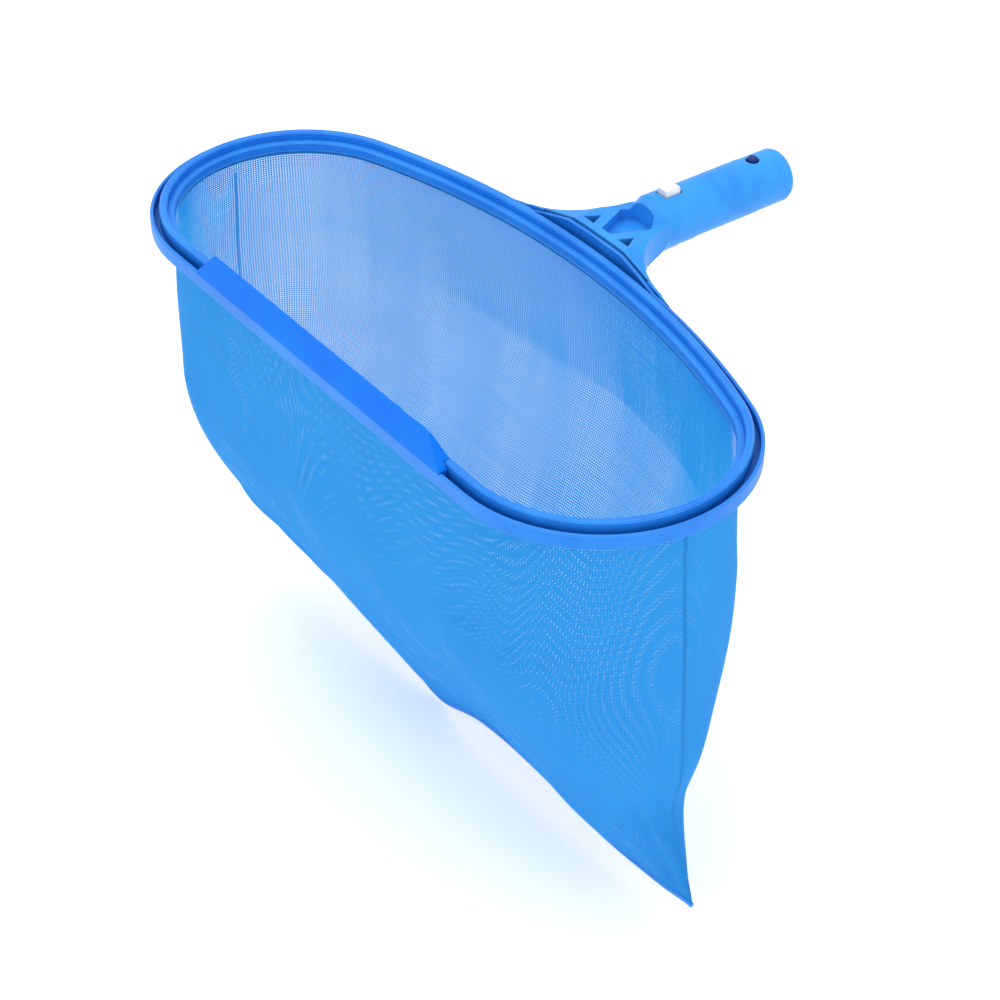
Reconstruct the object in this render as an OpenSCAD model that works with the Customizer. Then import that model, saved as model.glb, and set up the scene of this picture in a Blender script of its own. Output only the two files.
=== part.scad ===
// Leaf skimmer net: a channelled rim with a hanging mesh bag, a scoop lip and a
// push-on handle spigot with a squeeze clip.
// Origin: middle of the plain stretch of the spigot, on its axis. +Y runs out of the
// handle, the scoop lip faces -Y, +Z is up. All sizes in millimetres.

/* [Rim] */
// Half the length of the straight front run
front_half = 124; // [100:1:140]
// Outer radius of the two round ends
end_r = 76; // [70:1:80]
// Outer radius of the bowed back
back_r = 458; // [430:1:500]
// Depth of the rim below its outer top edge
rim_drop = 7.5; // [7:0.1:9]
// Height of the inner bead above the outer wall
bead_rise = 3.7; // [2:0.1:5]
// Thickness of the outer wall
outer_wall = 2; // [1.6:0.1:2.4]
// Width of the open groove between outer wall and bead
groove_w = 3; // [2.6:0.1:3.4]
// Width of the inner bead
bead_w = 4; // [3.5:0.1:4.5]
// Height of the gusset wall in front of the yoke
gusset_rise = 7; // [5:0.1:7.2]

/* [Bag] */
// Drop from the rim's outer top edge to the bottom seam
bag_depth = 258; // [180:1:300]
// Half the length of the bottom seam
seam_half = 186; // [150:1:190]
// Thickness of the bag wall
bag_wall = 1.2; // [0.8:0.1:2]
// Depth at which the walls stop hanging straight and start to close
straight_drop = 84; // [40:1:110]
// Depth of the rounded lower part of the bag
round_drop = 190; // [130:1:215]
// Share of the mouth's width left at that depth
round_share = 0.6; // [0.3:0.01:0.7]
// Width of the flat hem held under the clamp ring
hem_w = 3.7; // [3:0.1:3.8]

/* [Scoop lip] */
// Half the length of the lip at its foot
lip_half = 103; // [60:1:115]
// Sideways shift of the lip's middle
lip_shift = 4; // [-6:1:6]
// Height of the lip above the outer wall
lip_rise = 13.8; // [8:0.1:18]
// Length of the sloped end, measured along the lip
lip_slope = 12; // [6:1:20]

/* [Handle] */
// Outer radius of the spigot
spigot_r = 14.5; // [14:0.1:15]
// Wall of the spigot
spigot_wall = 2.5; // [2:0.1:2.6]
// Rim middle to the middle of the plain stretch
reach = 160; // [160:1:162]
// Length of the plain stretch
plain_len = 42; // [38:1:42]
// Extra radius of the collar that stops the pole
collar_step = 0.4; // [0.3:0.1:0.8]
// Rim middle to the open end of the spigot
spigot_end = 202.5; // [199:0.5:205]
// Height of the spigot's axis above the rim's outer top edge
axis_rise = 2; // [0:0.1:2.5]
// Radius of the concave side of the yoke
yoke_scoop_r = 36.5; // [30:0.5:38]
// Height of the yoke top above the rim's outer top edge
yoke_top = 8.2; // [7.6:0.1:9]

/* [Clip] */
// Rim middle to the pins
pin_y = 185; // [184:0.5:186]
// Radius of a pin
pin_r = 2.9; // [2.4:0.1:3]
// Radius of a pin hole
pin_hole_r = 3.6; // [3.5:0.1:4]
// How far a pin stands out of the spigot
pin_proud = 1.3; // [0.8:0.1:1.4]
// Rim middle to the middle of a finger wing
wing_y = 130; // [129:0.5:131]
// Length of a finger wing
wing_len = 9; // [7:0.5:9]
// How far a wing stands out of the spigot
wing_proud = 3; // [2.5:0.1:6]
// Width of a leg
leg_w = 6.8; // [5:0.1:7]

/* [Hidden] */
$fn = 96;
gap = 0.15;
back_shift = back_r - end_r;
back_angle = acos(front_half / back_shift);
back_centre_y = -12 - back_shift * sin(back_angle);
end_centre_y = -12;
front_y = end_centre_y - end_r;
bead_out = outer_wall + groove_w;
rim_w = bead_out + bead_w;
ledge_w = 3;
ledge_t = 1.8;
groove_floor = -5.2;
hem_t = 0.8;
hem_z = -rim_drop + ledge_t + 0.1;
clamp_z = hem_z + hem_t + 0.1;
clamp_top = -0.5;
clamp_w = 3.5;
bag_off = rim_w + ledge_w + 0.3;
bag_top = hem_z - 0.2;
top_half = front_half + end_r - bag_off;
gusset_half = 21.5;
gusset_foot = 48;
bore_r = spigot_r - spigot_wall;
bore_start = 118;
collar_start = 120;
plain_start = reach - plain_len / 2;
plain_end = reach + plain_len / 2;
tip_r = spigot_r - 0.25;
scoop_y = 120;
yoke_half = spigot_r + collar_step + yoke_scoop_r;
flank_half = yoke_half + 12.6;
flank_y = back_centre_y + sqrt(back_r * back_r - flank_half * flank_half);
tab_t = 2.5;
tab_half = 19;
tab_back = 103;
screw_shank_r = 1.4;
screw_head_r = 3;
screw_head_t = 1.8;
screw_top = 1;
screw_places = [[-13, 90], [13, 90], [-8, 99], [8, 99]];
hinge_y = 199;
hinge_z = 9.7;
hinge_r = 1.2;
leg_t = 1.8;
slot_half = 4;
slot_len = wing_len + 2.4;

frame_blue = [0.24, 0.55, 0.94];
lip_blue = [0.12, 0.47, 1.0];
mesh_blue = [0.36, 0.68, 0.95];
seam_blue = [0.20, 0.50, 0.88];
clip_white = [0.94, 0.95, 0.96];
pin_dark = [0.02, 0.14, 0.40];
steel = [0.72, 0.73, 0.75];

// moves a shape drawn around the middle of the rim into the part's frame
module placed() {
    translate([0, -reach, -axis_rise]) children();
}

// lifts a shape drawn around the spigot's axis to its height above the rim
module lifted() {
    translate([0, 0, axis_rise]) children();
}

// turns a shape standing on Z to run along the spigot axis from y
module along(y) {
    translate([0, y, 0]) rotate([-90, 0, 0]) children();
}

// profile points are [distance in from the outer edge, height]
module swept_end(points) {
    translate([front_half, end_centre_y, 0])
        rotate([0, 0, -90])
            rotate_extrude(angle = 90 + back_angle)
                polygon([for (p = points) [end_r - p[0], p[1]]]);
}

module swept_back(points, half_angle) {
    translate([0, back_centre_y, 0])
        rotate([0, 0, 90 - half_angle])
            rotate_extrude(angle = 2 * half_angle, $fn = 360)
                polygon([for (p = points) [back_r - p[0], p[1]]]);
}

module swept_front(points) {
    translate([-front_half, front_y, 0])
        rotate([90, 0, 90])
            linear_extrude(height = 2 * front_half)
                polygon(points);
}

module ring(points) {
    swept_front(points);
    swept_end(points);
    mirror([1, 0, 0]) swept_end(points);
    swept_back(points, 90 - back_angle);
}

// outline of the rim at a distance in from its outer edge, as points
function arc(cx, cy, r, a0, a1, n) =
    [for (i = [0:n]) [cx + r * cos(a0 + (a1 - a0) * i / n), cy + r * sin(a0 + (a1 - a0) * i / n)]];
function outline(off) = concat(
    arc(front_half, end_centre_y, end_r - off, -90, back_angle, 20),
    arc(0, back_centre_y, back_r - off, back_angle + 2, 178 - back_angle, 10),
    arc(-front_half, end_centre_y, end_r - off, 180 - back_angle, 270, 20));

// a prism standing on the XZ plane, cut to [x, z] points, running from y0 to y1
module wall_prism(points, y0, y1) {
    translate([0, y1, 0])
        rotate([90, 0, 0])
            linear_extrude(height = y1 - y0)
                polygon(points);
}

// U-channel section with the groove open at the top and a ledge inside at the bottom
module rim_frame() {
    section = [[0, -rim_drop], [rim_w + ledge_w, -rim_drop], [rim_w + ledge_w, -rim_drop + ledge_t],
        [rim_w, -rim_drop + ledge_t], [rim_w, bead_rise - 0.8], [rim_w - 0.8, bead_rise],
        [bead_out + 0.8, bead_rise], [bead_out, bead_rise - 0.8], [bead_out, groove_floor],
        [outer_wall, groove_floor], [outer_wall, -0.5], [outer_wall - 0.5, 0], [0.6, 0], [0, -0.6]];
    gusset = [[0, -1.2], [0, gusset_rise + 0.01], [outer_wall - 0.2, gusset_rise + 0.01],
        [outer_wall - 0.2, -1.2]];
    gusset_face = [[-gusset_foot, -2], [gusset_foot, -2], [gusset_foot, 0],
        [gusset_half, gusset_rise], [-gusset_half, gusset_rise], [-gusset_foot, 0]];
    color(frame_blue) placed() difference() {
        union() {
            ring(section);
            intersection() {
                swept_back(gusset, 8);
                wall_prism(gusset_face, 70, 90);
            }
            // tab that the yoke sits on
            difference() {
                translate([-tab_half, 76, -rim_drop])
                    cube([2 * tab_half, tab_back - 76, tab_t]);
                translate([0, back_centre_y, -rim_drop - 1])
                    cylinder(h = tab_t + 2, r = back_r - 1, $fn = 360);
            }
        }
        for (p = screw_places)
            translate([p[0], p[1], -rim_drop - 1])
                cylinder(h = tab_t + 2, r = screw_shank_r + 0.2, $fn = 32);
    }
}

// ring that presses the hem of the bag onto the ledge
module clamp_ring() {
    inner = rim_w + 0.1;
    section = [[inner, clamp_z], [inner + clamp_w, clamp_z], [inner + clamp_w, clamp_top - 0.8],
        [inner + clamp_w - 0.8, clamp_top], [inner, clamp_top]];
    color(frame_blue) placed() ring(section);
}

// wedge that stands in the groove along the front, with sloped ends
module scoop_lip() {
    tongue_in = outer_wall + 0.25;
    tongue_out = bead_out - 0.25;
    section = [[-0.4, gap], [3.2, lip_rise], [4.8, lip_rise], [8, bead_rise + gap],
        [bead_out - gap, bead_rise + gap], [tongue_out, gap], [tongue_out, -3], [tongue_in, -3],
        [tongue_in, gap]];
    face = [[-lip_half, -4], [lip_half, -4], [lip_half, 1], [lip_half - lip_slope, lip_rise + 0.1],
        [lip_slope - lip_half, lip_rise + 0.1], [-lip_half, 1]];
    color(lip_blue) placed() intersection() {
        swept_front(section);
        translate([lip_shift, 0, 0]) wall_prism(face, front_y - 5, front_y + 15);
    }
}

// flat folded edge of the bag, between ledge and clamp ring
module bag_hem() {
    inner = rim_w + 0.2;
    section = [[inner, hem_z], [inner + hem_w, hem_z], [inner + hem_w, hem_z + hem_t],
        [inner, hem_z + hem_t]];
    color(seam_blue) placed() ring(section);
}

// half length of the bag at a height, on a straight line from the mouth's end to the seam's end
function bag_half_len(z) =
    top_half + (seam_half - top_half) * (bag_top - z) / (bag_depth + bag_top);

// flat slice of the bag at a height, with its front-to-back width scaled by share
module bag_slice(inset, z, thick, share) {
    // a narrowed slice is drawn a little narrower still, so that the wall keeps its thickness
    narrowed = share - inset * (1 - share) / (-front_y - bag_off);
    translate([0, 0, z])
        linear_extrude(height = thick)
            polygon([for (p = outline(bag_off + inset))
                [p[0] * bag_half_len(z) / top_half, p[1] * narrowed]]);
}

// solid pouch that hangs straight from the rim's outline, then rounds in to a straight
// bottom seam
module pouch(inset) {
    hull() {
        bag_slice(inset, bag_top - 1, 1 + (inset > 0 ? 0.5 : 0), 1);
        bag_slice(inset, -straight_drop, 1, 1);
        bag_slice(inset, -round_drop, 1, round_share);
        translate([inset - seam_half, inset - 2, inset - bag_depth])
            cube([2 * (seam_half - inset), 2 * (2 - inset), 1]);
    }
}

module bag_shell() {
    difference() {
        pouch(0);
        pouch(bag_wall);
    }
}

// side of the bag in front of or behind its two side seams
module bag_half(front) {
    split = front ? -gap : gap;
    edge = front ? -120 : 120;
    side = [[edge, 0], [end_centre_y + split, 0], [split, -bag_depth - 1], [edge, -bag_depth - 1]];
    intersection() {
        bag_shell();
        translate([-200, 0, 0]) rotate([90, 0, 90]) linear_extrude(height = 400) polygon(side);
    }
}

module bag_front_panel() {
    color(mesh_blue) placed() bag_half(true);
}

module bag_back_panel() {
    color(mesh_blue) placed() bag_half(false);
}

// turned-in seam that joins the two panels down the inside of one end of the bag
module side_seam() {
    seam_w = 1.8;
    seam_deep = 1.8;
    seam_foot = 18;
    top = bag_top - 2;
    low = seam_foot - bag_depth;
    wall_in = bag_wall + gap;
    face = [[bag_half_len(top) - wall_in, top], [bag_half_len(low) - wall_in, low],
        [bag_half_len(low) - wall_in - seam_deep, low], [bag_half_len(top) - wall_in - seam_deep, top]];
    intersection() {
        wall_prism(face, end_centre_y - seam_w, seam_w);
        rotate([90, 0, 90]) linear_extrude(height = 220)
            polygon([[end_centre_y - seam_w / 2, 0], [end_centre_y + seam_w / 2, 0],
                [seam_w / 2, -bag_depth - 1], [-seam_w / 2, -bag_depth - 1]]);
    }
}

module side_seam_right() {
    color(seam_blue) placed() side_seam();
}

module side_seam_left() {
    color(seam_blue) placed() mirror([1, 0, 0]) side_seam();
}

module bottom_seam() {
    color(seam_blue) placed()
        translate([-seam_half, -1.5, -bag_depth - 2 - gap])
            cube([2 * seam_half, 3, 2]);
}

// hollow yoke and spigot, moulded in one
module handle_yoke() {
    pocket_floor = 2.4;
    pocket = [[-3.5, 90], [3.5, 90], [12, 109], [7.5, 114.5], [-7.5, 114.5], [-12, 109]];
    side_pocket = [[9.5, 89.6], [18, 89.6], [13.2, 97.5]];
    flank_top = yoke_half + 4;
    body = [[-flank_half, -rim_drop], [flank_half, -rim_drop], [flank_half, -0.5],
        [flank_top, 0], [gusset_half + 2, gusset_rise], [gusset_half - 2, yoke_top],
        [2 - gusset_half, yoke_top], [-gusset_half - 2, gusset_rise], [-flank_top, 0],
        [-flank_half, -0.5]];
    // outside of the scoop the flank thins out along the rim
    beyond_flank = [[yoke_half, scoop_y - yoke_scoop_r], [flank_half + 1, flank_y - 0.3],
        [flank_half + 1, scoop_y], [yoke_half, scoop_y]];
    cone_start = 104;
    cone_r = 7.5;
    blend_start = 100;
    blend_r = 22;
    edge = 2;
    groove_half = gusset_foot - 6;
    groove_low = -1.5;
    color(frame_blue) placed() difference() {
        union() {
            difference() {
                wall_prism(body, 78, scoop_y);
                for (side = [0, 1]) mirror([side, 0, 0]) {
                    translate([yoke_half, scoop_y, -20]) cylinder(h = 40, r = yoke_scoop_r);
                    translate([0, 0, -20]) linear_extrude(height = 40) polygon(beyond_flank);
                }
                // the body's corners thin out towards the collar
                difference() {
                    translate([-40, blend_start, -30]) cube([80, scoop_y - blend_start + 1, 60]);
                    lifted() along(blend_start) cylinder(h = scoop_y - blend_start,
                        r1 = blend_r, r2 = spigot_r + collar_step);
                }
            }
            lifted() {
                along(cone_start) cylinder(h = collar_start - cone_start, r1 = cone_r,
                    r2 = spigot_r + collar_step);
                along(collar_start)
                    cylinder(h = plain_start - collar_start, r = spigot_r + collar_step);
                along(plain_start) cylinder(h = plain_len, r = spigot_r);
                along(plain_end) cylinder(h = spigot_end - edge - plain_end, r = tip_r);
                along(spigot_end - edge) cylinder(h = edge, r1 = tip_r, r2 = tip_r - 1);
            }
        }
        // the rim's back and its gusset stand in front of this face
        translate([0, back_centre_y, -20]) cylinder(h = 40, r = back_r + gap, $fn = 360);
        // shadow groove behind the gusset
        intersection() {
            translate([0, back_centre_y, groove_low]) cylinder(h = 20, r = back_r + 1, $fn = 360);
            translate([-groove_half, 76, groove_low]) cube([2 * groove_half, 20, 20]);
        }
        translate([-tab_half - gap, 76, -20])
            cube([2 * (tab_half + gap), tab_back + gap - 76, 20 - rim_drop + tab_t + 0.1]);
        lifted() along(bore_start) cylinder(h = spigot_end - bore_start + 1, r = bore_r);
        translate([0, 0, pocket_floor]) linear_extrude(height = 20) polygon(pocket);
        for (side = [0, 1]) mirror([side, 0, 0])
            translate([0, 0, pocket_floor]) linear_extrude(height = 20) polygon(side_pocket);
        translate([0, pin_y, -20]) cylinder(h = 40, r = pin_hole_r, $fn = 48);
        translate([-slot_half, wing_y - slot_len / 2, -20]) cube([2 * slot_half, slot_len, 40]);
        for (p = screw_places)
            translate([p[0], p[1], -rim_drop])
                cylinder(h = rim_drop + screw_top + 0.5, r = screw_shank_r + 0.05, $fn = 32);
    }
}

module yoke_screws() {
    color(steel) placed() for (p = screw_places) translate([p[0], p[1], 0]) {
        translate([0, 0, -rim_drop - screw_head_t - 0.02])
            cylinder(h = screw_head_t, r = screw_head_r, $fn = 32);
        translate([0, 0, -rim_drop - screw_head_t])
            cylinder(h = screw_top + rim_drop + screw_head_t, r = screw_shank_r, $fn = 32);
    }
}

// bend of the clip, wedged across the open end of the spigot
module clip_bridge() {
    bar_t = 2;
    reach_z = hinge_z - hinge_r - 0.3;
    color(clip_white) placed() lifted() {
        translate([-leg_w / 2, hinge_y - bar_t / 2, -reach_z]) cube([leg_w, bar_t, 2 * reach_z]);
        intersection() {
            translate([-bore_r, hinge_y - bar_t / 2, -bar_t]) cube([2 * bore_r, bar_t, 2 * bar_t]);
            along(hinge_y - bar_t) cylinder(h = 2 * bar_t, r = bore_r - 0.02);
        }
    }
}

// sprung leg with its finger wing
module clip_leg() {
    leg_start = wing_y - wing_len / 2;
    leg_low = hinge_z - leg_t / 2;
    difference() {
        union() {
            translate([-leg_w / 2, hinge_y, hinge_z]) rotate([0, 90, 0])
                cylinder(h = leg_w, r = hinge_r, $fn = 32);
            translate([-leg_w / 2, leg_start, leg_low]) cube([leg_w, hinge_y - leg_start, leg_t]);
            translate([-leg_w / 2, leg_start, leg_low])
                cube([leg_w, wing_len, spigot_r + wing_proud - leg_low]);
        }
        translate([0, pin_y, leg_low - 1]) cylinder(h = leg_t + 2, r = pin_r, $fn = 48);
    }
}

module clip_leg_upper() {
    color(clip_white) placed() lifted() clip_leg();
}

module clip_leg_lower() {
    color(clip_white) placed() lifted() mirror([0, 0, 1]) clip_leg();
}

module clip_pin() {
    pin_low = hinge_z - leg_t / 2;
    nose = 0.8;
    tip = spigot_r + pin_proud;
    translate([0, pin_y, pin_low]) cylinder(h = tip - nose - pin_low, r = pin_r - 0.01, $fn = 48);
    translate([0, pin_y, tip - nose]) cylinder(h = nose, r1 = pin_r - 0.01, r2 = pin_r - nose, $fn = 48);
}

module clip_pin_upper() {
    color(pin_dark) placed() lifted() clip_pin();
}

module clip_pin_lower() {
    color(pin_dark) placed() lifted() mirror([0, 0, 1]) clip_pin();
}

rim_frame();
clamp_ring();
scoop_lip();
bag_hem();
bag_front_panel();
bag_back_panel();
side_seam_left();
side_seam_right();
bottom_seam();
handle_yoke();
yoke_screws();
clip_bridge();
clip_leg_upper();
clip_leg_lower();
clip_pin_upper();
clip_pin_lower();
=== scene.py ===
# %% [markdown]
# # A leaf skimmer net
# A leaf skimmer is a moulded plastic rim with a long net bag under it and a short spigot
# that a telescopic pole pushes onto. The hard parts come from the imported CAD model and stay
# exactly where it puts them. This lesson gives them their finishes, and builds the soft
# parts again as real surfaces: the two net panels, the seams and the hem.
# Everything is in metres, in the frame of the CAD model: +Y runs out of the handle, the
# scoop lip faces -Y and +Z is up.

import math

import bpy
import numpy as np
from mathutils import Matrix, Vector


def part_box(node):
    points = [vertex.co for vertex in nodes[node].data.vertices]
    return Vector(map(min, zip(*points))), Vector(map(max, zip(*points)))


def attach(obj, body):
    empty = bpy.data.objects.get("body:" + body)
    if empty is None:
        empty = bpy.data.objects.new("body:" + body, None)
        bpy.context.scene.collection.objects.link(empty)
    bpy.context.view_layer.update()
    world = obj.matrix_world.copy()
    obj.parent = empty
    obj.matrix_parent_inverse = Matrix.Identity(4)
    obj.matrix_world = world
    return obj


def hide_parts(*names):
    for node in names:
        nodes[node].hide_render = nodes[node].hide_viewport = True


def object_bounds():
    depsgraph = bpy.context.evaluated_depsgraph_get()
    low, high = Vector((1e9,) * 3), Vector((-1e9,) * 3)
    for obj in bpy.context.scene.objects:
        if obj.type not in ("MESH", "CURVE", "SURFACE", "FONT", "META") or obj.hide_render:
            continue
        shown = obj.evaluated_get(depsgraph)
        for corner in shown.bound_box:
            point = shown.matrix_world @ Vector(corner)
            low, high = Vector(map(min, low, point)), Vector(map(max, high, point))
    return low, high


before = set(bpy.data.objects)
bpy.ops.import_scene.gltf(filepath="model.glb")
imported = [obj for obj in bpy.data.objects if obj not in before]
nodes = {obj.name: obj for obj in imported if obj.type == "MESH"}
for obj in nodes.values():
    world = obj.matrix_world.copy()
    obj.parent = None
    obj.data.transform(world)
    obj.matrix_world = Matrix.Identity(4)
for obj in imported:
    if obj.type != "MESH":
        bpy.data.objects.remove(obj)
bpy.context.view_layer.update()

# %% [markdown]
# ## Camera
# The camera comes first, so that every later look is judged from the same place. It stands
# about 1.4 m away, in front and to the right of the net and well above it, with a long lens
# so that the rim keeps its true proportions.

# %% Camera
camera_data = bpy.data.cameras.new("camera")
camera_data.lens = 97.46
camera_data.sensor_width = 36.0
camera_data.clip_start = 0.01
camera = bpy.data.objects.new("camera", camera_data)
camera.location = (0.8981, -0.7955, 0.7175)
camera.rotation_euler = (math.radians(52.66), 0.0, math.radians(53.69))
bpy.context.scene.collection.objects.link(camera)
bpy.context.scene.camera = camera
print("camera at", tuple(round(v, 3) for v in camera.location))

# %% [markdown]
# ## Sizes that the soft parts share
# The rim's outline is three arcs and a straight: a straight front, two round ends of one
# radius and a bowed back of a larger one. The bag hangs from the same outline, moved in by a
# few millimetres, so its shape is worked out from the same numbers.

# %% Sizes of the outline
reach = 0.160  # from the middle of the rim to the origin, which is on the handle
front_half = 0.124  # half the straight front run
end_r = 0.076  # outer radius of the round ends
back_r = 0.458  # outer radius of the bowed back
end_forward = 0.012  # how far the ends' centres lie towards the lip from the rim's middle
end_y = -end_forward - reach  # y of the centres of the round ends
end_angle = math.acos(front_half / (back_r - end_r))  # where an end meets the back
back_y = end_y - (back_r - end_r) * math.sin(end_angle)
panel_low, panel_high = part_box("bag_front_panel")
bag_half = panel_high.x
bag_in = front_half + end_r - bag_half  # how far the bag hangs inside the rim's edge
mouth_z = panel_high.z
print("bag hangs", round(bag_in * 1000, 1), "mm inside the rim, mouth at z", round(mouth_z, 4))


# %% [markdown]
# ## Two helpers for surfaces
# Nearly every soft part is either a grid of points in two directions, or a small outline
# carried along a path. Blender needs vertices and faces, so one helper turns a grid into a
# mesh, and the other works out the grid of a swept outline.

# %% Grid to mesh
def grid_piece(name, points, uv=None, wrap_rows=False, wrap_cols=False, cap_rows=False):
    """points[i, j] is a place on the surface. Neighbours (i, j), (i, j+1), (i+1, j+1) and
    (i+1, j) make a face, so it faces the way of d/dj x d/di. Wrapped rows or columns join
    the last to the first, and cap_rows closes the first and last row with one face each."""
    rows, cols = points.shape[:2]
    index = np.arange(rows * cols).reshape(rows, cols)
    near_i = index if wrap_rows else index[:-1]
    next_i = np.roll(index, -1, 0) if wrap_rows else index[1:]
    if wrap_cols:
        near, far = near_i, next_i
        quads = np.stack([near, np.roll(near, -1, 1), np.roll(far, -1, 1), far], -1)
    else:
        quads = np.stack([near_i[:, :-1], near_i[:, 1:], next_i[:, 1:], next_i[:, :-1]], -1)
    faces = quads.reshape(-1, 4).tolist()
    if cap_rows:
        faces += [index[0][::-1].tolist(), index[-1].tolist()]
    mesh = bpy.data.meshes.new(name)
    mesh.from_pydata(points.reshape(-1, 3).tolist(), [], faces)
    mesh.polygons.foreach_set("use_smooth", np.ones(len(mesh.polygons), bool))
    if uv is not None:
        corner = np.empty(len(mesh.loops), np.int32)
        mesh.loops.foreach_get("vertex_index", corner)
        layer = mesh.uv_layers.new(name="cloth")
        layer.data.foreach_set("uv", uv.reshape(-1, 2)[corner].astype(np.float32).ravel())
    mesh.update()
    piece = bpy.data.objects.new(name, mesh)
    bpy.context.scene.collection.objects.link(piece)
    print(name, "has", len(mesh.polygons), "faces")
    return piece


# %% Outline along a path
def along_path(path, side, up, profile):
    """Each row is the profile drawn at one point of the path: the point, plus the profile's
    first number along side and its second along up."""
    return (
        path[:, None, :]
        + profile[None, :, 0, None] * side[:, None, :]
        + profile[None, :, 1, None] * up[:, None, :]
    )


def round_bar(width, height, corner, steps=5):
    """A rectangle with round corners, counter-clockwise: four quarter circles of radius
    corner, each centred one radius in from its corner."""
    turn = np.linspace(0, math.pi / 2, steps)
    centres = [(1, 1), (-1, 1), (-1, -1), (1, -1)]
    return np.concatenate([
        np.stack([
            cx * (width / 2 - corner) + corner * np.cos(turn + k * math.pi / 2),
            cy * (height / 2 - corner) + corner * np.sin(turn + k * math.pi / 2),
        ], -1)
        for k, (cx, cy) in enumerate(centres)
    ])


def unit(vectors):
    """Each vector divided by its own length."""
    return vectors / np.linalg.norm(vectors, axis=-1, keepdims=True)


# %% [markdown]
# ## The net panels
# On the real thing two pieces of net are cut to a wide trapezoid, sewn down both ends and
# along the foot, and held by the rim at the mouth. Water and handling leave the bag full
# and rounded near the mouth and drawn flat to the foot seam, like a pillow with one side
# open. It could be simulated as cloth, but its shape is simple enough to write down, and a
# formula gives the same bag every time: the mouth's outline, narrowed front to back by a
# curve of the depth, with soft folds pushed in and out along its normal.

# %% Outline of the mouth
def mouth_outline(front, steps, off):
    """Points evenly spaced by length from the left seam to the right one, moved in from the
    rim's edge by off: by the front (a quarter circle, the straight and a quarter circle) or
    by the back (an arc of the end, the bowed back and an arc of the end)."""
    r = end_r - off
    if front:
        arc, middle = math.pi / 2 * r, 2 * front_half
    else:
        arc, middle = end_angle * r, (math.pi - 2 * end_angle) * (back_r - off)
    s = np.linspace(0, 2 * arc + middle, steps)
    first, rest, last = s < arc, np.clip(s - arc, 0, middle), s > arc + middle
    a, b = np.clip(s, 0, arc) / r, np.clip(s - arc - middle, 0, arc) / r
    if front:
        x = np.where(first, -front_half - r * np.cos(a), -front_half + rest)
        x = np.where(last, front_half + r * np.sin(b), x)
        y = end_y - np.where(first, r * np.sin(a), np.where(last, r * np.cos(b), r))
    else:
        t = math.pi - end_angle - rest / (back_r - off)
        x = np.where(first, -front_half - r * np.cos(a), (back_r - off) * np.cos(t))
        x = np.where(last, front_half + r * np.cos(end_angle - b), x)
        y = np.where(first, end_y + r * np.sin(a), back_y + (back_r - off) * np.sin(t))
        y = np.where(last, end_y + r * np.sin(end_angle - b), y)
    return x, y, s


# %% Bumps and ramps
def hump(t, centre, width):
    """A smooth bump: 1 at the centre, falling off as the bell curve of that width."""
    return np.exp(-(((t - centre) / width) ** 2))


def ramp(t, start, end):
    """0 before start, 1 after end, and a smooth S between them."""
    s = np.clip((t - start) / (end - start), 0, 1)
    return s * s * (3 - 2 * s)


# %% [markdown]
# ## The foot line
# A wet bag stretches unevenly, so its foot seam isn't level. Each sag or rise is one bump of
# its own height, place and width, and the whole line is their sum.

# %% Foot line
foot_level = -0.2595
foot_bumps = [  # height, x of the middle, width
    (-0.0110, -0.021, 0.024),  # the deepest sag, just left of the middle
    (-0.0040, -0.057, 0.022),  # its shoulder further left
    (0.0036, -0.115, 0.026),  # a rise on the way to the left corner
    (-0.0043, 0.125, 0.040),  # a longer, shallower sag on the right
    (0.0076, -0.173, 0.030),  # the left corner, drawn up
    (0.0030, 0.193, 0.015),  # the right corner, drawn up a little
]
foot_step = 0.0022  # how much higher the right half lies than the left


def foot_line(x):
    """Height of the foot seam: the level, the step to the right half, and the bumps."""
    line = foot_level + foot_step * ramp(x, 0.0, 0.05)
    for height, centre, width in foot_bumps:
        line = line + height * hump(x, centre, width)
    return line


print("foot seam at its lowest sag: z", round(float(foot_line(-0.021)), 4))

# %% [markdown]
# ## The folds
# Folds are small next to the bag, so they are pushes along the cloth's normal, added to the
# smooth shape. Long shallow waves cross both sides. The front also has an upright crease
# near its left end with a soft ridge beside it, a slanting valley that crosses the crease,
# and fine pleats low down near both ends.

# %% Folds
turn = 2 * math.pi
waves = [  # size, waves across, waves down, start
    (0.0009, 3.1, 0.8, 0.1),
    (0.0006, 7.3, -1.1, 0.4),
    (0.0005, 1.7, 2.6, 0.7),
]
crease_u = 0.135  # where the crease is, as a share of the way from the left seam
crease_in, ridge_out = 0.0040, 0.0026
valley_v, valley_slope = 0.63, 0.55
valley_in, brow_out = 0.0048, 0.0016
left_pleat, right_pleat = 0.0012, 0.0014


def front_folds(u, v):
    """The crease, the valley and the pleats of the front. u goes from the left seam to the
    right one and v from the mouth to the foot, both from 0 to 1. Each fold is a bump or a
    wave in u, or in the distance below the valley's line, faded in and out by ramps."""
    crease = crease_u + 0.03 * (v - 0.6)
    depth = ramp(v, 0.35, 0.62) * (1 - ramp(v, 0.86, 0.97))
    out = -crease_in * hump(u, crease, 0.018) * depth
    out = out + ridge_out * hump(u, crease - 0.045, 0.026) * depth
    below = v - valley_v - valley_slope * (u - 0.06)
    along_valley = ramp(u, 0.03, 0.07) * (1 - ramp(u, 0.20, 0.32))
    out = out - valley_in * hump(below, 0.020, 0.018) * along_valley
    out = out + brow_out * hump(below, -0.022, 0.022) * along_valley
    fan = hump(u, 0.07, 0.06) * ramp(v, 0.2, 0.55) * (1 - ramp(v, 0.85, 0.97))
    out = out + left_pleat * np.sin(turn * 26 * (u + 0.06 * v)) * fan
    ear = hump(u, 0.93, 0.06) * ramp(v, 0.6, 0.8) * (1 - ramp(v, 0.95, 1.0))
    return out + right_pleat * np.sin(turn * 17 * (u - 0.05 * v)) * ear


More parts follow.
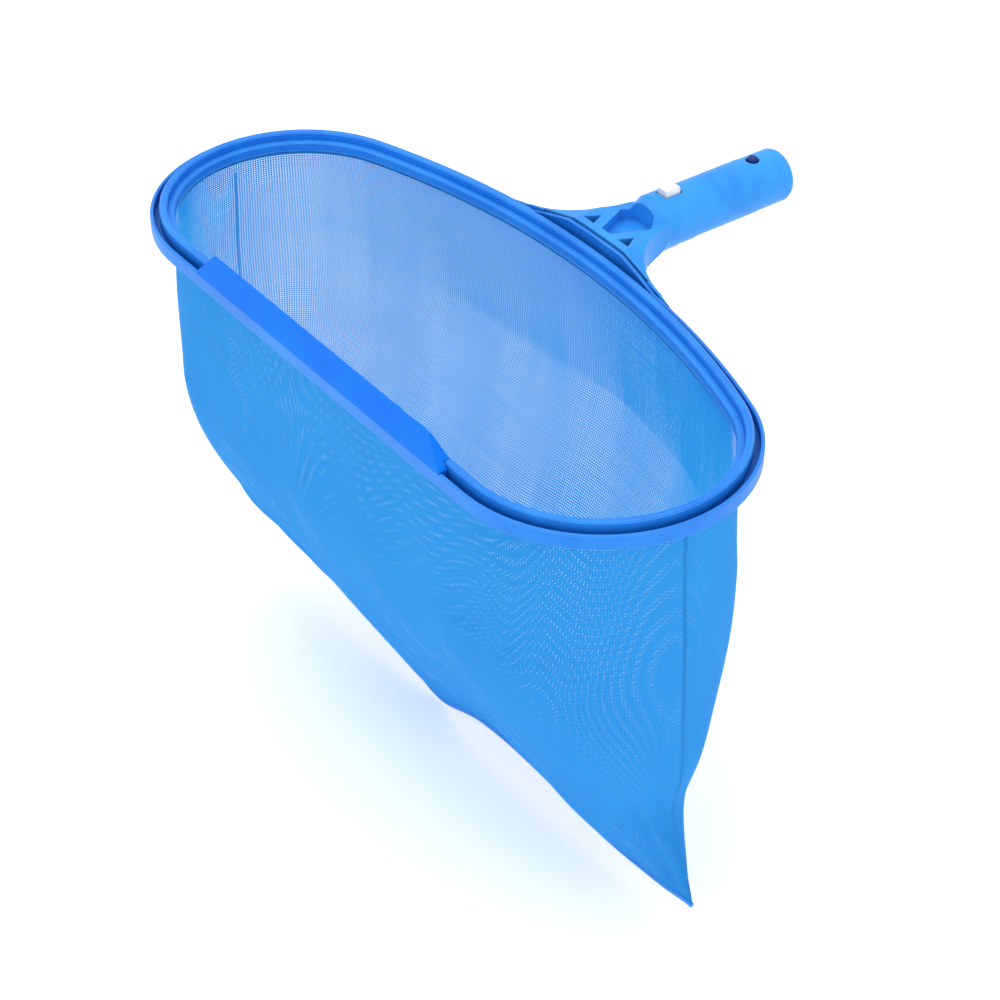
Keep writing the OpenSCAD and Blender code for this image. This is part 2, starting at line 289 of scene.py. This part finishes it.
def folds(front, u, v):
    """How far the net stands out of its smooth shape: the waves, which fade out at the mouth
    and at the foot, and on the front its own folds."""
    fade = ramp(v, 0.05, 0.3) * (1 - ramp(v, 0.93, 1.0))
    out = 0 * (u + v)
    for size, across, down, start in waves:
        out = out + size * np.sin(turn * (across * u + down * v + start)) * fade
    return out + front_folds(u, v) if front else out


print("folds ready:", len(waves), "waves on both sides, the rest on the front")

# %% [markdown]
# ## One side of the bag
# The front is fuller than the back, so each side has its own shape numbers. At the two ends
# they meet in one shared set, because there the panels are sewn to each other.

# %% One side of the bag
side_shape = {True: (0.35, 1.45, 0.0034), False: (0.26, 1.15, 0.0046)}  # True is the front
end_shape = (0.305, 1.30, 0.0040)  # share that hangs straight, power of the curve, bulge
foot_left, foot_right = 0.173, 0.194  # how far the foot reaches to each side
waist_in, waist_v, waist_h = 0.0094, 0.775, 0.10  # how the right end is drawn in low down
panel_drop = 0.262  # length of the cut panel from mouth to foot


def bag_side(front, steps_across=225, steps_down=131):
    """One panel as a grid. At a depth v the mouth's outline keeps its length and its depth
    front to back is multiplied by 1 - w^p, where w grows from 0 at the end of the straight
    part to 1 at the foot. A bulge pushes it out along the outline's normal, and the
    outline's x moves to the foot's as v squared."""
    x, y, s = mouth_outline(front, steps_across, bag_in)
    v = np.linspace(0, 1, steps_down)[:, None]
    u = (s / s[-1])[None]
    ends = np.abs(2 * u - 1) ** 8
    straight, power, swell = (
        own + (shared - own) * ends for own, shared in zip(side_shape[front], end_shape)
    )
    w = np.clip((v - straight) / (1 - straight), 0, 1)
    share = 1 - w**power
    out_x, out_y = x - np.clip(x, -front_half, front_half), y - end_y
    length = np.hypot(out_x, out_y)
    push = swell * np.sin(math.pi * np.clip(v / 0.75, 0, 1))
    foot_x = np.where(x < 0, x * foot_left / bag_half, x * foot_right / bag_half)
    waist = waist_in * hump(v, waist_v, waist_h) * np.clip(x / bag_half, 0, 1) ** 4
    px = x + (foot_x - x) * v**2 + 0.6 * push * out_x / length - waist
    py = (y + reach) * share + push * out_y / length - reach
    pz = mouth_z + (foot_line(foot_x) - mouth_z) * v
    points = np.stack([px, py, pz + 0 * px], -1)
    down, across = np.gradient(points, axis=0), np.gradient(points, axis=1)
    normal = unit(np.cross(across, down) if not front else np.cross(down, across))
    normal = np.where(np.isfinite(normal), normal, 0)
    points = points + normal * folds(front, u, v)[..., None]
    uv = np.stack([s[None] + 0 * px, -panel_drop * v + 0 * px], -1)
    return points, uv


# %% Build the two panels
cloth_t = 0.0003  # thickness of the net


def net_panel(name, front):
    """The grid of one side, turned to face outwards and given the cloth's thickness."""
    points, uv = bag_side(front)
    if front:
        points, uv = points[:, ::-1], uv[:, ::-1]
    piece = grid_piece(name, points, uv)
    wall = piece.modifiers.new("thickness", "SOLIDIFY")
    wall.thickness = cloth_t
    wall.offset = 0.0
    return piece


front_cloth = net_panel("net_front", True)
back_cloth = net_panel("net_back", False)
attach(front_cloth, "net")
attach(back_cloth, "net")
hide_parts("bag_front_panel")
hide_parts("bag_back_panel")

# %% [markdown]
# ## Seams and hem
# The panels' ends are sewn together inside the bag, so only a thin turned-in bead shows.
# The foot is bound with a narrow tape folded round both edges. At the mouth the net is
# folded into a flat hem that the clamp ring presses onto the rim's ledge.

# %% End seams
front_grid, _ = bag_side(True)
z_axis = np.array([0.0, 0.0, 1.0])
bead_t, bead_corner = 0.0009, 0.0004
bead_in = 0.0008  # how far inside the shared edge the bead lies


def end_seam(name, column):
    """A thin round bead that follows the panels' shared edge on the inside, from just under
    the hem to just above the foot, a little thicker and thinner by turns."""
    edge = front_grid[3:-9, column]
    inward = np.array([-np.sign(edge[0, 0]), 0.0, 0.0])
    path = edge + inward * bead_in
    along = unit(np.gradient(path, axis=0))
    side = unit(inward - along * (along @ inward)[:, None])
    up = np.cross(along, side)
    knots = 1 + 0.09 * np.sin(np.arange(len(path)) * 1.9)
    rows = along_path(path, side * knots[:, None], up * knots[:, None],
                      round_bar(bead_t, bead_t, bead_corner))
    return grid_piece(name, rows[:, ::-1], wrap_cols=True, cap_rows=True)


left_seam = end_seam("end_seam_left", 0)
right_seam = end_seam("end_seam_right", -1)
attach(left_seam, "net")
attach(right_seam, "net")
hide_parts("side_seam_left")
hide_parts("side_seam_right")

# %% Foot binding
tape_w, tape_h, tape_corner = 0.0024, 0.0030, 0.0011
tape_drop = 0.0004  # the tape's middle lies this far below the panels' edge
foot_path = front_grid[-1] - tape_drop * z_axis
foot_along = unit(np.gradient(foot_path, axis=0))
foot_side = unit(np.cross(foot_along, z_axis))
foot_up = np.cross(foot_side, foot_along)
from_left = np.arange(len(foot_path))
from_end = np.minimum(from_left, from_left[::-1])
squeeze = np.clip(from_end / 3.0, 0.35, 1)  # the tape narrows over its last three points
foot_rows = along_path(foot_path, foot_side * squeeze[:, None], foot_up * squeeze[:, None],
                       round_bar(tape_w, tape_h, tape_corner))
foot_binding = grid_piece("foot_binding", foot_rows, wrap_cols=True, cap_rows=True)
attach(foot_binding, "net")
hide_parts("bottom_seam")

# %% Hem
hem_low, hem_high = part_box("bag_hem")


def ring_path(off, z, steps):
    """The rim's whole outline, moved in by off, at one height: the front from left to
    right, then the back from right to left."""
    fx, fy, _ = mouth_outline(True, steps, off)
    bx, by, _ = mouth_outline(False, steps, off)
    x, y = np.concatenate([fx[:-1], bx[:0:-1]]), np.concatenate([fy[:-1], by[:0:-1]])
    return np.stack([x, y, np.full_like(x, z)], -1)


hem_off = front_half + end_r - hem_high.x
hem_w = 0.0037  # width of the folded hem
hem_path = ring_path(hem_off + hem_w / 2, (hem_low.z + hem_high.z) / 2, 161)
hem_along = unit(np.roll(hem_path, -1, 0) - np.roll(hem_path, 1, 0))
hem_side = np.cross(hem_along, z_axis)
hem_rows = along_path(hem_path, hem_side, np.tile(z_axis, (len(hem_path), 1)),
                      round_bar(hem_w, hem_high.z - hem_low.z, 0.0003, 4))
hem_band = grid_piece("hem_band", hem_rows, wrap_rows=True, wrap_cols=True)
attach(hem_band, "net")
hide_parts("bag_hem")


# %% [markdown]
# ## Stitches
# A lockstitch shows as a row of short thread dashes. One dash is a small closed shape with
# a few dozen faces, and the same dash is placed again and again along the seam, all in one
# mesh, by adding it to an array of places.

# %% Foot stitches
def stitches(name, places, along, out, length=0.0024, thick=0.00022):
    """A dash is a row of rings that swell from a point and close again. Ring k stands at
    length * t along the seam with radius thick * sqrt(1 - t^2), lifted by the same curve."""
    t = np.linspace(-1, 1, 7)
    turn = np.linspace(0, 2 * math.pi, 7)[:-1]
    radius = thick * np.sqrt(np.clip(1 - t**2, 0.02, 1))
    side = np.cross(along, out)
    dash = (
        (t * length / 2)[None, :, None, None] * along[:, None, None, :]
        + (radius[:, None] * np.cos(turn))[None, :, :, None] * side[:, None, None, :]
        + (radius[:, None] * np.sin(turn) + thick * (1 - t**2)[:, None])[None, :, :, None]
        * out[:, None, None, :]
        + places[:, None, None, :]
    )
    count, rings, around = dash.shape[:3]
    index = np.arange(rings * around).reshape(rings, around)
    quads = np.stack([index[:-1], np.roll(index, -1, 1)[:-1], np.roll(index, -1, 1)[1:],
                      index[1:]], -1).reshape(-1, 4)
    caps = np.stack([index[0][::-1], index[-1]])
    shift = (np.arange(count) * rings * around)[:, None, None]
    faces = (quads[None] + shift).reshape(-1, 4).tolist()
    faces += (caps[None] + shift).reshape(-1, around).tolist()
    mesh = bpy.data.meshes.new(name)
    mesh.from_pydata(dash.reshape(-1, 3).tolist(), [], faces)
    mesh.polygons.foreach_set("use_smooth", np.ones(len(mesh.polygons), bool))
    piece = bpy.data.objects.new(name, mesh)
    bpy.context.scene.collection.objects.link(piece)
    print(name, "has", count, "stitches")
    return piece


stitch_pitch, stitch_margin = 0.0034, 0.004
stitch_out = 0.0011  # how far a stitch lies from the middle of the tape


def row_of_stitches(name, front):
    """One dash every stitch_pitch along the foot, on the front or back face of the tape."""
    far = np.concatenate([[0], np.cumsum(np.linalg.norm(np.diff(foot_path, axis=0), axis=1))])
    at = np.arange(stitch_margin, far[-1] - stitch_margin, stitch_pitch)
    places = np.stack([np.interp(at, far, foot_path[:, k]) for k in range(3)], -1)
    along = unit(np.stack([np.interp(at, far, foot_along[:, k]) for k in range(3)], -1))
    out = unit(np.cross(along, z_axis)) * (1 if front else -1)
    return stitches(name, places + out * stitch_out, along, out)


front_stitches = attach(row_of_stitches("foot_stitches_front", True), "net")
back_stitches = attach(row_of_stitches("foot_stitches_back", False), "net")


# %% [markdown]
# ## Finishes
# A finish is a small network of nodes. Writing each one through one short helper keeps the
# networks readable: it adds a node, sets its numbers and joins its inputs in one line.

# %% Node helper
class Finish:
    """A material with one Principled surface, and short ways to add and join nodes."""

    def __init__(self, name, roughness, **fixed):
        self.material = bpy.data.materials.new(name)
        self.material.use_nodes = True
        self.tree = self.material.node_tree
        self.surface = self.tree.nodes["Principled BSDF"]
        self.surface.inputs["Roughness"].default_value = roughness
        for socket, value in fixed.items():
            self.surface.inputs[socket.replace("_", " ")].default_value = value

    def add(self, kind, inputs=None, **settings):
        node = self.tree.nodes.new("ShaderNode" + kind)
        for key, value in settings.items():
            setattr(node, key, value)
        for key, value in (inputs or {}).items():
            if isinstance(value, bpy.types.NodeSocket):
                self.tree.links.new(value, node.inputs[key])
            else:
                node.inputs[key].default_value = value
        return node

    def math(self, operation, a, b=0.0, c=0.0):
        inputs = {0: a, 1: b}
        if operation in ("WRAP", "MULTIPLY_ADD"):
            inputs[2] = c
        return self.add("Math", inputs, operation=operation).outputs[0]

    def ramp(self, value, stops):
        """A run of colour between two stops, each a place from 0 to 1 and a colour."""
        node = self.add("ValToRGB", {"Fac": value})
        for element, (place, colour) in zip(node.color_ramp.elements, stops):
            element.position = place
            element.color = (*colour, 1)
        return node.outputs["Color"]

    def blend(self, amount, colour, other):
        """From colour at amount 0 to other at amount 1."""
        node = self.add("Mix", data_type="RGBA")
        factor, first, second = (node.inputs[k] for k in (0, 6, 7))
        self.tree.links.new(amount, factor)
        self.tree.links.new(colour, first)
        second.default_value = (*other, 1)
        return node.outputs[2]

    def join(self, socket, value):
        self.tree.links.new(value, self.surface.inputs[socket])


def shade(hex_colour):
    """A colour written as its red, green and blue in hex, as linear light."""
    parts = [int(hex_colour[k:k + 2], 16) / 255 for k in (0, 2, 4)]
    linear = [p / 12.92 if p <= 0.04045 else ((p + 0.055) / 1.055) ** 2.4 for p in parts]
    return tuple(linear)


# %% [markdown]
# ## Moulded plastic
# The rim, the lip, the clamp ring and the yoke are injection moulded polypropylene: shades
# of one blue, a satin skin with a very fine pebble, faint flow marks from the gate, and
# edges rounded by the tool. A Bevel node rounds the edges in the shading, and where its
# normal differs from the flat one the colour goes a little paler: partly the wear of handled
# edges, partly a painted highlight. An Ambient Occlusion node finds the narrow grooves and
# pockets, and there the colour is painted darker, a painted shade for the little light that
# gets in.

# %% Moulded plastic finish
# Edges turn paler: partly the wear of handled edges, partly a painted highlight.
edge_gain, edge_most = 4.5, 0.55  # how fast and how far an edge turns pale
# Painted shade: narrow grooves and pockets get a darker colour, where little light gets in.
hollow_reach = 0.006  # how far round a point other surfaces count as walls of a hollow
hollow_open = 0.62  # share of open air below which a place is a hollow
painted_shade_gain, painted_shade_most = 1.4, 0.75  # how fast and how far a hollow turns dark
painted_shade_tone = 0.42  # a hollow's colour, as a share of the deep one


def moulded(name, base, deep, pale, roughness=0.42, grain=0.10, round_r=0.0006, shine=0.22):
    """Colour runs from deep to base with broad clouds and streaks, to pale on edges, partly
    wear and partly a painted highlight, and to a darker tone in narrow hollows, a painted
    shade.
    Roughness follows the clouds. The bump is fine noise over the rounded normal."""
    f = Finish(name, roughness, Specular_IOR_Level=shine)
    place = f.add("TexCoord").outputs["Object"]
    clouds = f.add("TexNoise", {"Vector": place, "Scale": 24.0, "Detail": 4.0})
    stretched = f.add("Mapping", {"Vector": place, "Scale": (18.0, 120.0, 90.0)})
    streaks = f.add("TexNoise", {"Vector": stretched.outputs[0], "Scale": 1.0, "Detail": 3.0})
    mixed = f.math("MULTIPLY_ADD", streaks.outputs["Fac"], 0.35,
                   f.math("MULTIPLY", clouds.outputs["Fac"], 0.65))
    colour = f.ramp(mixed, [(0.30, deep), (0.62, base)])
    rounded = f.add("Bevel", {"Radius": round_r}, samples=4)
    flat = f.add("NewGeometry").outputs["Normal"]
    meet = f.add("VectorMath", {0: rounded.outputs[0], 1: flat}, operation="DOT_PRODUCT")
    scuff_and_highlight_noise = f.add("TexNoise", {"Vector": place, "Scale": 260.0, "Detail": 5.0})
    edge = f.math("MULTIPLY", f.math("SUBTRACT", 1.0, meet.outputs["Value"]),
                  f.math("MULTIPLY", scuff_and_highlight_noise.outputs["Fac"], edge_gain))
    # Pale edges: partly wear, partly a painted highlight along them.
    edge_wear_and_highlight = f.blend(f.math("MINIMUM", edge, edge_most), colour, pale)
    # Painted shade: where ambient occlusion finds a narrow groove or pocket, the colour turns
    # darker.
    open_air = f.add("AmbientOcclusion", {"Distance": hollow_reach}, samples=6).outputs["AO"]
    hollow = f.math("MULTIPLY", f.math("SUBTRACT", hollow_open, open_air), painted_shade_gain)
    hollow = f.math("MINIMUM", f.math("MAXIMUM", hollow, 0.0), painted_shade_most)
    f.join("Base Color", f.blend(hollow, edge_wear_and_highlight, tuple(painted_shade_tone * part for part in deep)))
    f.join("Roughness", f.math("MULTIPLY_ADD", mixed, 0.22, roughness - 0.11))
    pebble = f.add("TexNoise", {"Vector": place, "Scale": 1500.0, "Detail": 2.0})
    bump = f.add("Bump", {"Height": pebble.outputs["Fac"], "Normal": rounded.outputs[0],
                          "Strength": grain, "Distance": 0.0004})
    f.join("Normal", bump.outputs[0])
    return f.material


# The third colour of each finish is the pale of its edges: partly wear, partly painted
# highlight.
rim_finish = moulded("rim_plastic", shade("268aea"), shade("1674de"), shade("94ccfe"))
clamp_finish = moulded("clamp_plastic", shade("308ee8"), shade("207adc"), shade("7ab6fa"))
lip_finish = moulded("lip_plastic", shade("047af2"), shade("026ce6"), shade("2c8efa"), 0.5,
                     0.05, shine=0.10)
yoke_finish = moulded("yoke_plastic", shade("349cee"), shade("2486e2"), shade("84bdfb"))
print("moulded finishes ready")


# %% [markdown]
# ## Clip, pins and screws
# The sprung clip is white nylon, which lets a little light in, so it gets some subsurface.
# The pins are acetal with a slight gloss, coloured a very dark navy: a painted shade, as deep
# as the shadow inside the holes they fill. The screws are zinc-plated steel with the fine rings
# that turning leaves.

# %% Clip, pin and screw finishes
def nylon(name, base, deep):
    """White with faint warm clouds, a soft pebble and rounded edges."""
    f = Finish(name, 0.38, Subsurface_Weight=0.12, Subsurface_Radius=(0.8, 0.8, 0.9),
               Subsurface_Scale=0.002)
    place = f.add("TexCoord").outputs["Object"]
    clouds = f.add("TexNoise", {"Vector": place, "Scale": 110.0, "Detail": 4.0})
    f.join("Base Color", f.ramp(clouds.outputs["Fac"], [(0.3, deep), (0.7, base)]))
    f.join("Roughness", f.math("MULTIPLY_ADD", clouds.outputs["Fac"], 0.2, 0.28))
    rounded = f.add("Bevel", {"Radius": 0.0005}, samples=4)
    pebble = f.add("TexNoise", {"Vector": place, "Scale": 1800.0, "Detail": 2.0})
    bump = f.add("Bump", {"Height": pebble.outputs["Fac"], "Normal": rounded.outputs[0],
                          "Strength": 0.08, "Distance": 0.0003})
    f.join("Normal", bump.outputs[0])
    return f.material


def steel(name):
    """Bright metal whose roughness and bump vary in fine rings and spots."""
    f = Finish(name, 0.3, Metallic=1.0)
    place = f.add("TexCoord").outputs["Object"]
    spots = f.add("TexNoise", {"Vector": place, "Scale": 900.0, "Detail": 6.0})
    f.join("Base Color", f.ramp(spots.outputs["Fac"], [(0.3, shade("8f9297")),
                                                       (0.7, shade("d5d7da"))]))
    f.join("Roughness", f.math("MULTIPLY_ADD", spots.outputs["Fac"], 0.3, 0.15))
    bump = f.add("Bump", {"Height": spots.outputs["Fac"], "Strength": 0.15,
                          "Distance": 0.0002})
    f.join("Normal", bump.outputs[0])
    return f.material


clip_finish = nylon("clip_nylon", shade("f4f6f8"), shade("e2e8ee"))
# The pins' dark navy is a painted shade, as deep as the shadow inside their holes.
pin_hole_shade_finish = moulded("pin_acetal_hole_shade", shade("0c2f78"), shade("08245f"), shade("3a64ad"), 0.3, 0.04,
                     0.0003)
screw_finish = steel("screw_steel")
print("clip, pin and screw finishes ready")


# %% [markdown]
# ## Net
# The bag is a fine woven net. At this scale each thread can't be a mesh, so the weave is
# worked out from the cloth's own UV map, which is in metres: a point is on a thread if it
# is close enough to the middle of one, across or down, and is a hole otherwise. A hole is
# clear, so whatever lies behind shows through, and two layers of net make the faint rings
# that real nets make. The threads are thin enough to glow when lit from the far side.

# %% Net finish
def net(name, pitch, thread, base, deep, glow):
    """A hole where both distances to the nearest thread are over half a thread. The width of
    a thread changes slowly along it. The bump makes threads round, and raises and lowers
    them in turn where they cross. Half of the cloth's surface is a plain one and half a
    translucent one, which lets light through in the glow colour."""
    f = Finish(name, 0.6, Specular_IOR_Level=0.12)
    uv = f.add("UVMap", uv_map="cloth").outputs[0]
    split = f.add("SeparateXYZ", {0: uv})
    over = []
    near = []
    for axis, stretch in (("X", (420.0, 9.0, 1.0)), ("Y", (9.0, 420.0, 1.0))):
        cell = f.math("MULTIPLY", split.outputs[axis], 1 / pitch)
        offset = f.math("WRAP", cell, 0.5, -0.5)
        drawn = f.add("Mapping", {"Vector": uv, "Scale": stretch})
        uneven = f.add("TexNoise", {"Vector": drawn.outputs[0], "Scale": 1.0, "Detail": 1.0})
        slack = f.math("MULTIPLY_ADD", uneven.outputs["Fac"], 0.36 * thread, -0.18 * thread)
        distance = f.math("MULTIPLY", f.math("ABSOLUTE", offset), pitch)
        near.append(f.math("SUBTRACT", distance, slack))
        over.append(f.math("COSINE", f.math("MULTIPLY", cell, math.pi)))
    closest = f.math("MINIMUM", near[0], near[1])
    place = f.add("TexCoord").outputs["Object"]
    clouds = f.add("TexNoise", {"Vector": place, "Scale": 16.0, "Detail": 5.0})
    fibre = f.add("TexNoise", {"Vector": place, "Scale": 700.0, "Detail": 2.0})
    tone = f.math("MULTIPLY_ADD", fibre.outputs["Fac"], 0.45,
                  f.math("MULTIPLY", clouds.outputs["Fac"], 0.55))
    f.join("Base Color", f.ramp(tone, [(0.32, deep), (0.66, base)]))
    weave = f.math("MULTIPLY", over[0], over[1])
    height = f.math("MULTIPLY_ADD", weave, 0.35,
                    f.math("SUBTRACT", 1.0, f.math("MULTIPLY", closest, 2 / thread)))
    bump = f.add("Bump", {"Height": height, "Strength": 0.5, "Distance": 0.0002})
    f.join("Normal", bump.outputs[0])
    through = f.add("BsdfTranslucent", {"Color": (*glow, 1)})
    clear = f.add("BsdfTransparent")
    thin = f.add("MixShader", {0: 0.5, 1: f.surface.outputs[0], 2: through.outputs[0]})
    cloth = f.add("MixShader", {0: f.math("LESS_THAN", closest, thread / 2),
                                1: clear.outputs[0], 2: thin.outputs[0]})
    f.tree.links.new(cloth.outputs[0], f.tree.nodes["Material Output"].inputs["Surface"])
    return f.material


net_pitch, net_thread = 0.0014, 0.00069
net_finish = net("net_cloth", net_pitch, net_thread, shade("46b6f2"), shade("3ca8e8"),
                 shade("4cc8f6"))
print("net finish ready")


# %% [markdown]
# ## Binding and thread
# The seams and hem are the same nylon as the net, doubled and pressed, so they are denser
# and a little darker, with a fine slanted rib. The stitching is a thicker, glossier thread.

# %% Binding and thread finishes
def binding(name, base, deep, rib, roughness=0.55):
    """A slanted rib, from a wave across the piece, with fibre noise over it."""
    f = Finish(name, roughness, Specular_IOR_Level=0.3, Sheen_Weight=0.25)
    place = f.add("TexCoord").outputs["Object"]
    turned = f.add("Mapping", {"Vector": place, "Rotation": (0.3, 0.5, 0.7)})
    ribs = f.add("TexWave", {"Vector": turned.outputs[0], "Scale": rib, "Distortion": 1.5,
                             "Detail": 2.0})
    fibre = f.add("TexNoise", {"Vector": place, "Scale": 900.0, "Detail": 3.0})
    tone = f.math("MULTIPLY_ADD", ribs.outputs["Fac"], 0.5,
                  f.math("MULTIPLY", fibre.outputs["Fac"], 0.5))
    f.join("Base Color", f.ramp(tone, [(0.2, deep), (0.75, base)]))
    bump = f.add("Bump", {"Height": tone, "Strength": 0.4, "Distance": 0.0002})
    f.join("Normal", bump.outputs[0])
    return f.material


binding_finish = binding("seam_binding", shade("2c96ee"), shade("1a84e0"), 320.0)
bead_finish = binding("bead_net", shade("46b6f4"), shade("38a6ea"), 420.0)
thread_finish = binding("stitch_thread", shade("58abf5"), shade("2f86e2"), 900.0, 0.4)
print("binding and thread ready")

# %% [markdown]
# ## Put the finishes on
# A CAD node keeps its mesh and only its material slots change. The new pieces get theirs
# the same way.

# %% Assign finishes
cad_finish = {
    "rim_frame": rim_finish,
    "clamp_ring": clamp_finish,
    "scoop_lip": lip_finish,
    "handle_yoke": yoke_finish,
    "yoke_screws": screw_finish,
    "clip_bridge": clip_finish,
    "clip_leg_upper": clip_finish,
    "clip_leg_lower": clip_finish,
    "clip_pin_upper": pin_hole_shade_finish,
    "clip_pin_lower": pin_hole_shade_finish,
}
for node_name, finish in cad_finish.items():
    data = nodes[node_name].data
    data.materials.clear()
    data.materials.append(finish)

new_finish = [
    (front_cloth, net_finish),
    (back_cloth, net_finish),
    (left_seam, bead_finish),
    (right_seam, bead_finish),
    (foot_binding, binding_finish),
    (hem_band, binding_finish),
    (front_stitches, thread_finish),
    (back_stitches, thread_finish),
]
for piece, finish in new_finish:
    piece.data.materials.append(finish)
print("finishes on", len(cad_finish), "CAD nodes and", len(new_finish), "new pieces")

# %% [markdown]
# ## The cut of the cloth
# Each panel is a trapezoid of net, cut 450 mm wide at the mouth, 372 mm at the foot and
# 262 mm long, and held by the rim and the clamp ring all along its upper edge.

# %% [markdown]
# ## Floor and light
# A plain pale floor lies just under the foot of the bag, and it glows faintly, so that the
# shadow on it stays pale. The light is a studio's: a bright even surround, one large soft key
# overhead, a little to the front and left, and a weak fill from the right.

# %% Floor
floor_gap, floor_half = 0.002, 6.0
floor_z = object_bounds()[0].z - floor_gap
floor_points = np.stack(np.meshgrid(np.linspace(-floor_half, floor_half, 3),
                                    np.linspace(-floor_half, floor_half, 3)), -1)
floor_points = np.concatenate([floor_points, np.full((3, 3, 1), floor_z)], -1)
floor = grid_piece("floor", floor_points)
floor_look = Finish("floor_white", 0.9, Specular_IOR_Level=0.0, Emission_Strength=0.24)
floor_place = floor_look.add("TexCoord").outputs["Object"]
floor_noise = floor_look.add("TexNoise", {"Vector": floor_place, "Scale": 3.0})
floor_look.join("Base Color", floor_look.ramp(floor_noise.outputs["Fac"],
                                              [(0.2, (0.95, 0.95, 0.95)),
                                               (0.8, (0.98, 0.98, 0.98))]))
floor.data.materials.append(floor_look.material)

# %% Lights
scene = bpy.context.scene
world = bpy.data.worlds.new("studio")
world.use_nodes = True
world.node_tree.nodes["Background"].inputs["Color"].default_value = (1.0, 1.0, 1.0, 1.0)
world.node_tree.nodes["Background"].inputs["Strength"].default_value = 0.9
scene.world = world
scene.view_settings.view_transform = "Standard"


def soft_light(name, place, aim, size, power):
    """A square area light at place, turned to face aim."""
    data = bpy.data.lights.new(name, "AREA")
    data.shape = "SQUARE"
    data.size = size
    data.energy = power
    light = bpy.data.objects.new(name, data)
    light.location = place
    light.rotation_euler = (Vector(aim) - Vector(place)).to_track_quat("-Z", "Y").to_euler()
    scene.collection.objects.link(light)


middle = (0.0, -0.15, -0.1)
soft_light("key", (-0.6, -0.5, 2.2), middle, 2.4, 23.0)
soft_light("fill", (1.3, -0.3, 1.5), middle, 1.2, 5.0)
print("floor at z", round(floor_z, 4))
